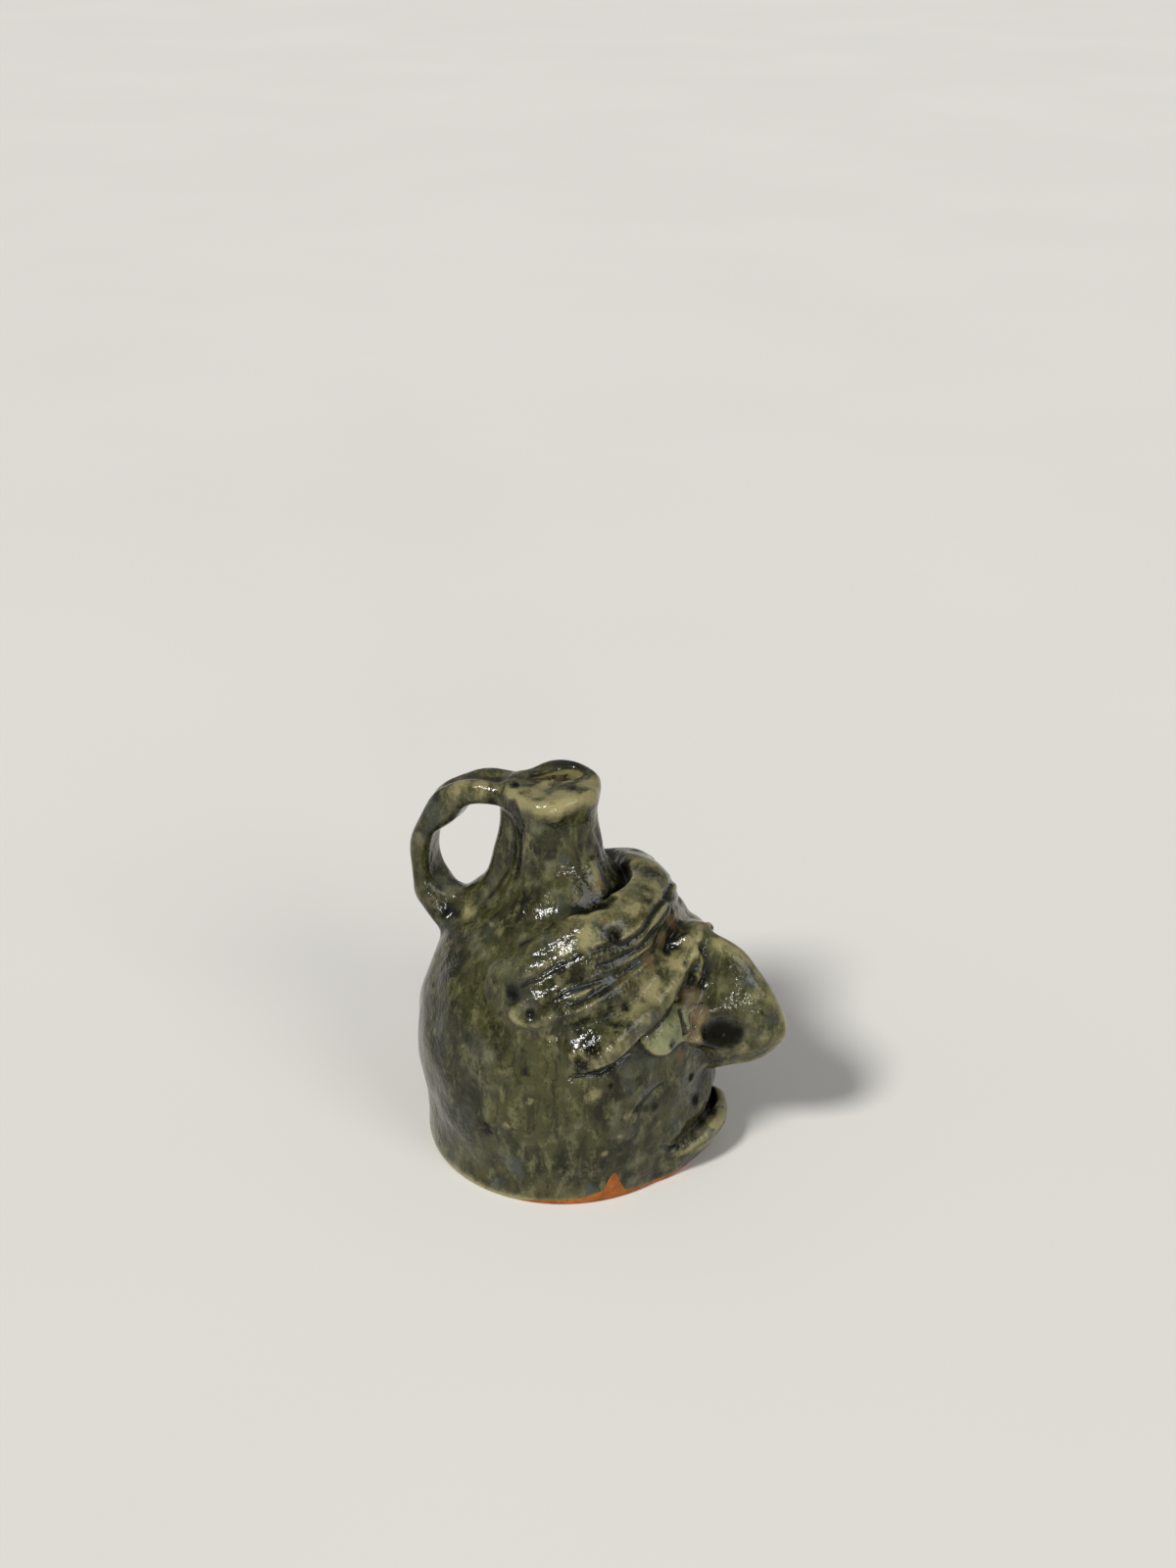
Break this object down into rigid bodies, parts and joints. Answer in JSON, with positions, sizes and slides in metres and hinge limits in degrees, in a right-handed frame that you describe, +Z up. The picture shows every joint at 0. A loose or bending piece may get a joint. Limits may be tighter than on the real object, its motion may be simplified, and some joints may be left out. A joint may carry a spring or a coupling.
{
  "type": "face jug",
  "caption": "Small hollow stoneware jug with a narrow mouth, a pulled strap handle and a modelled grotesque face, standing on a flat foot.",
  "frame": {"origin": "centre of the foot's flat face, on the surface that the jug stands on", "axes": "+X out of the face, along the nose; the handle is on -X; +Z up; +Y to the face's left"},
  "size_m": [0.108, 0.0836, 0.1106],
  "materials": {
    "olive_glaze": "gloss, mottled olive and blue-grey ash glaze",
    "eye_glaze": "gloss, pale yellow-green glaze",
    "bare_clay": "matt, bare fired clay"
  },
  "bodies": {
    "root": {"foot_slab": "bare_clay", "pot_wall": "olive_glaze", "neck": "olive_glaze", "rim": "olive_glaze", "handle": "olive_glaze", "hair_wave": "olive_glaze", "side_lock_right": "olive_glaze", "side_lock_left": "olive_glaze", "brow_right": "olive_glaze", "brow_left": "olive_glaze", "eye_right": "eye_glaze", "eye_left": "eye_glaze", "nose": "olive_glaze", "upper_lip": "olive_glaze", "lower_lip": "olive_glaze"}
  },
  "joints": []
}
